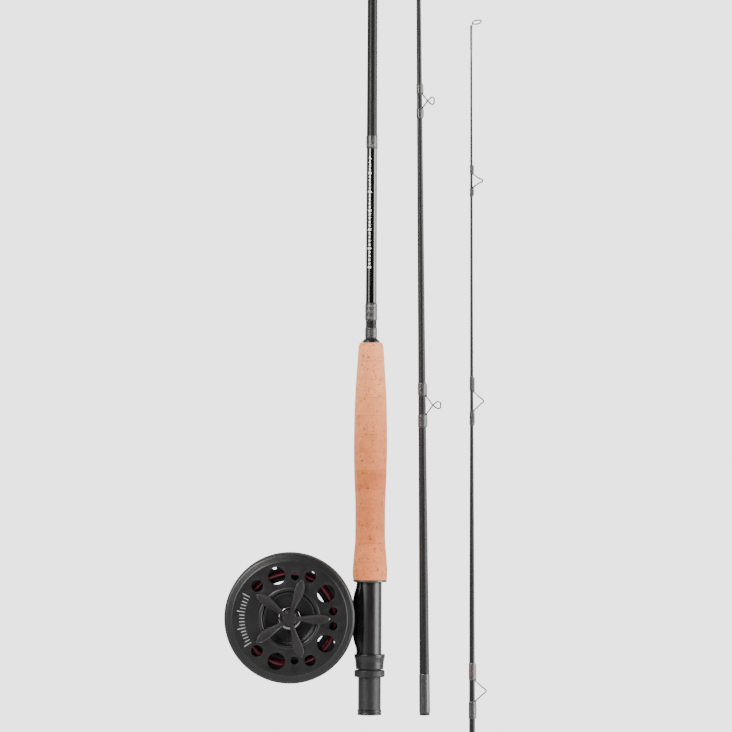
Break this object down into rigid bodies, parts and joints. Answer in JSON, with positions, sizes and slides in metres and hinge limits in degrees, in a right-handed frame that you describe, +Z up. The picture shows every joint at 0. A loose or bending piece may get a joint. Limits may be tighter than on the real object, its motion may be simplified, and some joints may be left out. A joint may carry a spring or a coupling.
{
  "type": "fly fishing rod and reel",
  "caption": "Take-down fly rod in sections side by side, with cork grip, screw-locking reel seat, wire guides and a ported large-arbor reel with a star drag knob.",
  "frame": {"origin": "centre of the butt cap's flat end", "axes": "+Z up the butt section's axis, +X towards the two loose sections, reel on the -X side with its back plate facing -Y and its handle towards +Y"},
  "size_m": [0.1825, 0.0573, 1.21],
  "materials": {
    "blank_graphite": "dark grey painted graphite, satin gloss",
    "thread_wrap": "charcoal thread under clear varnish",
    "silver_trim": "fine silver thread bands",
    "cork": "sanded cork with pits",
    "seat_metal": "satin dark grey anodised",
    "reel_metal": "satin charcoal black anodised",
    "spool_metal": "satin black anodised",
    "arbor_red": "glossy red anodised",
    "knob_black": "moulded charcoal plastic",
    "handle_black": "moulded black, fine texture",
    "stainless": "turned stainless steel",
    "screw_black": "black oxide steel",
    "bronze": "sintered bronze",
    "spring_steel": "drawn wire",
    "guide_wire": "grey chromed wire",
    "guide_ceramic": "polished dark ceramic",
    "drag_cork": "pressed cork",
    "arbor_foam": "rigid foam",
    "olive_ring": "dark olive composite"
  },
  "bodies": {
    "butt_section": {"butt_blank": "blank_graphite", "butt_cap": "seat_metal", "seat_barrel": "seat_metal", "seat_arbors": "arbor_foam", "fixed_hood": "seat_metal", "grip_end_ring": "olive_ring", "cork_rings": "cork", "winding_check": "knob_black", "butt_wraps": "thread_wrap", "butt_trim_bands": "silver_trim", "hook_keeper": "guide_wire", "stripping_guide_ring": "guide_ceramic", "stripping_guide_frame": "guide_wire", "stripping_guide_wraps": "thread_wrap", "back_plate": "reel_metal", "frame_pillars": "reel_metal", "front_ring": "reel_metal", "frame_screws": "screw_black", "foot_bridge": "reel_metal", "foot_screws": "screw_black", "reel_foot": "reel_metal", "drag_pressure_plate": "stainless", "pressure_pins": "stainless", "drag_steel_discs": "stainless", "housing_circlip": "spring_steel", "pawl_pin": "stainless", "pawl_spring": "spring_steel", "spindle": "stainless"},
    "hood": {"sliding_hood": "seat_metal"},
    "lock_ring": {"lock_ring": "seat_metal"},
    "drag_knob": {"star_knob": "knob_black", "drag_nut": "stainless"},
    "spool": {"spool_front_plate": "spool_metal", "spool_back_flange": "spool_metal", "arbor_ring": "arbor_red", "arbor_liner": "spool_metal", "spool_hub": "spool_metal", "spool_screws": "stainless", "spool_bushings": "bronze", "drag_cork_discs": "drag_cork", "clutch_hub": "stainless", "one_way_clutch": "stainless", "click_gear": "bronze", "handle_washer": "bronze", "handle_pin": "stainless", "counterweight": "stainless", "release_cap": "spool_metal", "latch_spring": "spring_steel"},
    "handle_knob": {"handle_knob": "handle_black"},
    "release_latch": {"release_latch": "stainless"},
    "click_pawl": {"click_pawl": "stainless"},
    "mid_section": {"mid_blank": "blank_graphite", "mid_snake_guides": "guide_wire", "mid_wraps": "thread_wrap"},
    "tip_section": {"tip_blank": "blank_graphite", "tip_snake_guides": "guide_wire", "tip_wraps": "thread_wrap", "tip_top": "guide_wire"}
  },
  "joints": [
    {"name": "hood_slide", "type": "slide", "parent": "butt_section", "child": "hood", "axis": [0, 0, -1], "range_m": [0, 0.0101]},
    {"name": "lock_ring_turn", "type": "hinge", "parent": "hood", "child": "lock_ring", "pos_m": [0, 0, 0.0287], "axis": [0, 0, -1], "range_deg": [0, 3600]},
    {"name": "drag_knob_turn", "type": "hinge", "parent": "butt_section", "child": "drag_knob", "pos_m": [-0.0552, 0, 0.0669], "axis": [0, 1, 0], "range_deg": [-90, 270]},
    {"name": "spool_spin", "type": "hinge", "parent": "butt_section", "child": "spool", "pos_m": [-0.0552, 0, 0.0669], "axis": [0, 1, 0], "continuous": true},
    {"name": "handle_knob_spin", "type": "hinge", "parent": "spool", "child": "handle_knob", "pos_m": [-0.0897, 0.02, 0.0669], "axis": [0, 1, 0], "continuous": true},
    {"name": "release_latch_press", "type": "slide", "parent": "spool", "child": "release_latch", "axis": [-1, 0, 0], "range_m": [0, 0.0014], "stiffness_N_per_m": 200, "springref_m": -0.002},
    {"name": "click_pawl_swing", "type": "hinge", "parent": "butt_section", "child": "click_pawl", "pos_m": [-0.0416, 0.0024, 0.0593], "axis": [0, 1, 0], "range_deg": [0, 10], "stiffness_Nm_per_rad": 0.01, "springref_deg": -11.46},
    {"name": "mid_section_lift", "type": "slide", "parent": "butt_section", "child": "mid_section", "axis": [-0.013, 0, 0.9999], "range_m": [0, 0.06]},
    {"name": "tip_section_lift", "type": "slide", "parent": "butt_section", "child": "tip_section", "axis": [-0.0058, 0, 1], "range_m": [0, 0.06]}
  ],
  "couplings": [
    {"joint": "hood_slide", "follows": "lock_ring_turn", "m_per_rad": 0.00015915}
  ]
}
